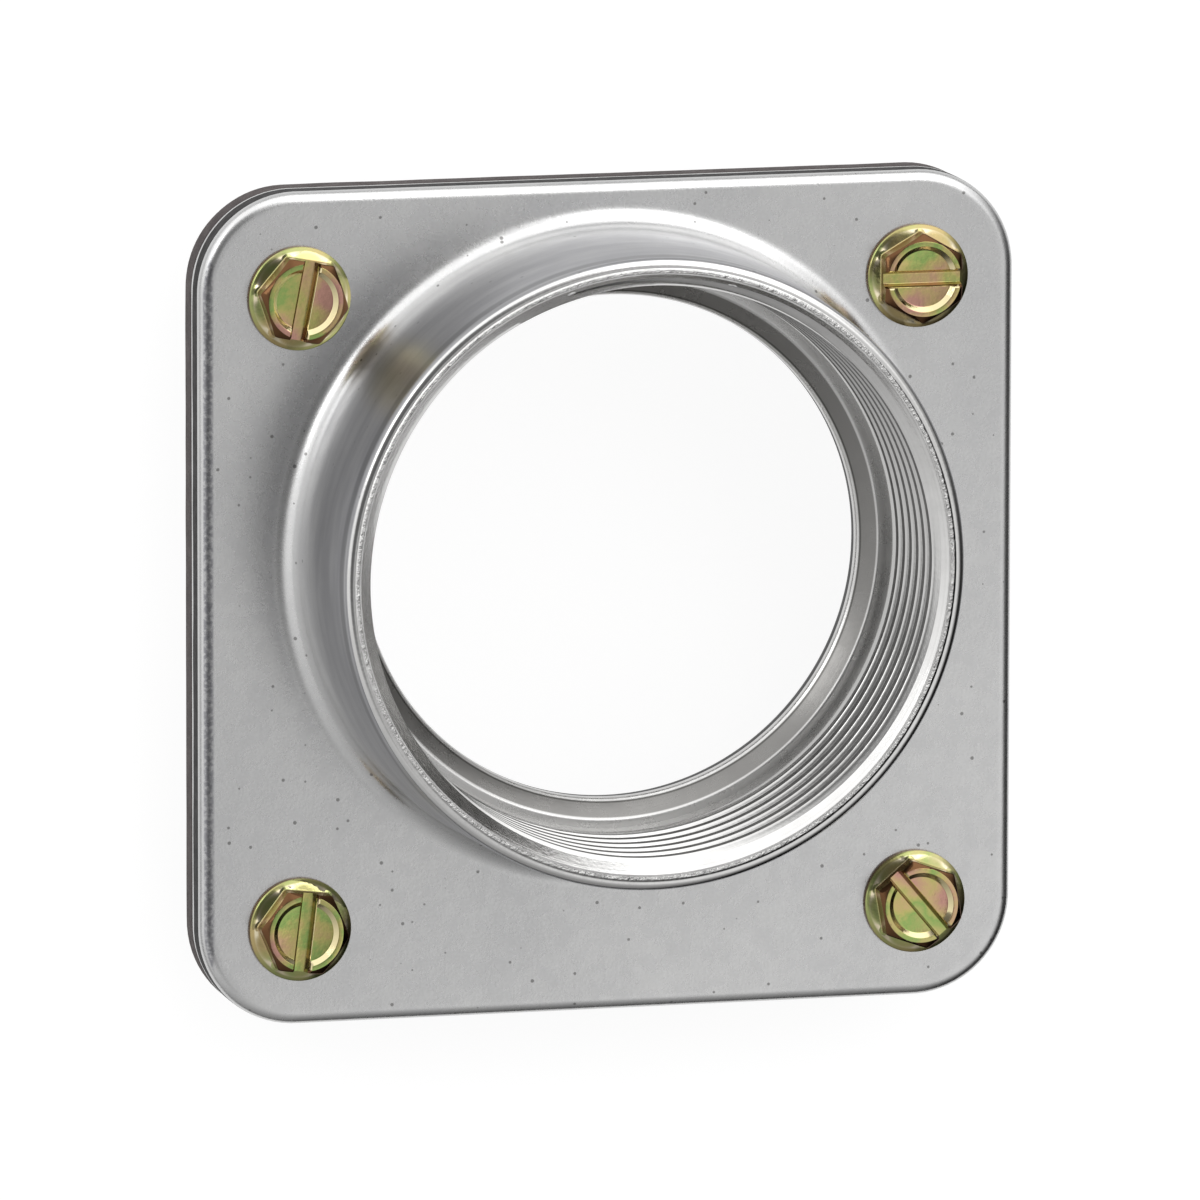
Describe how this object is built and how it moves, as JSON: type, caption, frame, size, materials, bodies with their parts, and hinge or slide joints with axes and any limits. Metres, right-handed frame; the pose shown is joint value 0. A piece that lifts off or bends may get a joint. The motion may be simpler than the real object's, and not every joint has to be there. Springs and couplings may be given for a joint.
{
  "type": "bolt-on conduit hub",
  "caption": "Square cast flange with a raised round collar, internally threaded for rigid conduit, a flat rubber gasket behind it and slotted hexagon screws at its corners.",
  "frame": {"origin": "centre of the square bolt pattern, on the underside of the gasket, where the hub meets the enclosure", "axes": "+Z along the collar, out of the enclosure; +Y towards the edge of the flange that the collar stands nearest to; +X completes the right-handed frame"},
  "size_m": [0.0838, 0.0838, 0.0314],
  "materials": {
    "cast_metal": "satin die cast skin, machined rim and bore",
    "gasket_rubber": "matt",
    "yellow_zinc": "yellow chromate over zinc plate, slightly iridescent"
  },
  "bodies": {
    "root": {"hub_body": "cast_metal", "gasket": "gasket_rubber", "mounting_screws": "yellow_zinc"}
  },
  "joints": []
}
